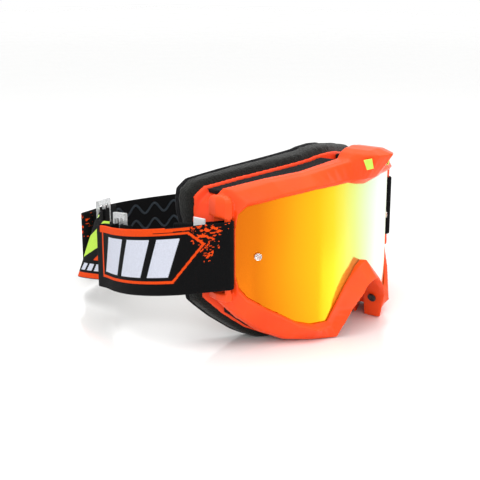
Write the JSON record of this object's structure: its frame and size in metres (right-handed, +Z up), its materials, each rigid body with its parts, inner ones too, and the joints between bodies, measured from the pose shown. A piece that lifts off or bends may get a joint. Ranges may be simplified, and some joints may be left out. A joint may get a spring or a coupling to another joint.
{
  "type": "motocross goggles",
  "caption": "Off-road goggles: an orange frame with nose arch and pointed brow, a curved mirrored lens, face foam, and an elastic strap with two sliders.",
  "frame": {"origin": "on the floor under the middle of the whole piece, strap included; the mirror plane of the goggle itself is at X = 8.94 mm", "axes": "+Z up, -Y where the lens faces, -X the wearer's right"},
  "size_m": [0.2358, 0.2786, 0.133],
  "materials": {
    "orange_frame": "satin",
    "orange_flange": "satin",
    "mirror_lens": "polished",
    "lime_badge": "gloss",
    "face_foam": "matte",
    "black_fleece": "matte",
    "filter_foam": "matte",
    "woven_strap": "matte",
    "clear_slider": "gloss",
    "white_label": "matte",
    "black_plug": "satin",
    "clear_post": "gloss"
  },
  "bodies": {
    "goggle": {"frame_front": "orange_frame", "lens": "mirror_lens", "lens_pin_right": "clear_post", "lens_pin_left": "clear_post", "nose_plug_right": "black_plug", "nose_plug_left": "black_plug", "brow_badge_right": "lime_badge", "brow_badge_left": "lime_badge", "face_frame": "orange_flange", "face_foam": "face_foam", "face_fleece": "black_fleece", "top_vent_foam_right": "filter_foam", "top_vent_foam_left": "filter_foam", "bottom_vent_foam_right": "filter_foam", "bottom_vent_foam_left": "filter_foam"},
    "right_strap": {"right_band": "woven_strap", "right_slider": "clear_slider", "right_anchor_patch": "woven_strap", "size_tag": "white_label"},
    "rear_strap": {"rear_band": "woven_strap"},
    "left_strap": {"left_band": "woven_strap", "left_slider": "clear_slider", "left_anchor_patch": "woven_strap"}
  },
  "joints": [
    {"name": "right_strap_swing", "type": "hinge", "parent": "goggle", "child": "right_strap", "pos_m": [-0.08906, -0.07434, 0.068], "axis": [0, 0, 1], "range_deg": [-1.5, 5]},
    {"name": "rear_strap_swing", "type": "hinge", "parent": "right_strap", "child": "rear_strap", "pos_m": [-0.09006, 0.03266, 0.05], "axis": [0, 0, 1], "range_deg": [-8.3, 2.6]},
    {"name": "left_strap_swing", "type": "hinge", "parent": "goggle", "child": "left_strap", "pos_m": [0.10694, -0.07434, 0.068], "axis": [0, 0, 1], "range_deg": [-0.45, 1.4]}
  ],
  "couplings": [
    {"joint": "rear_strap_swing", "follows": "right_strap_swing", "ratio": -1.6321},
    {"joint": "left_strap_swing", "follows": "right_strap_swing", "ratio": 0.2775}
  ]
}
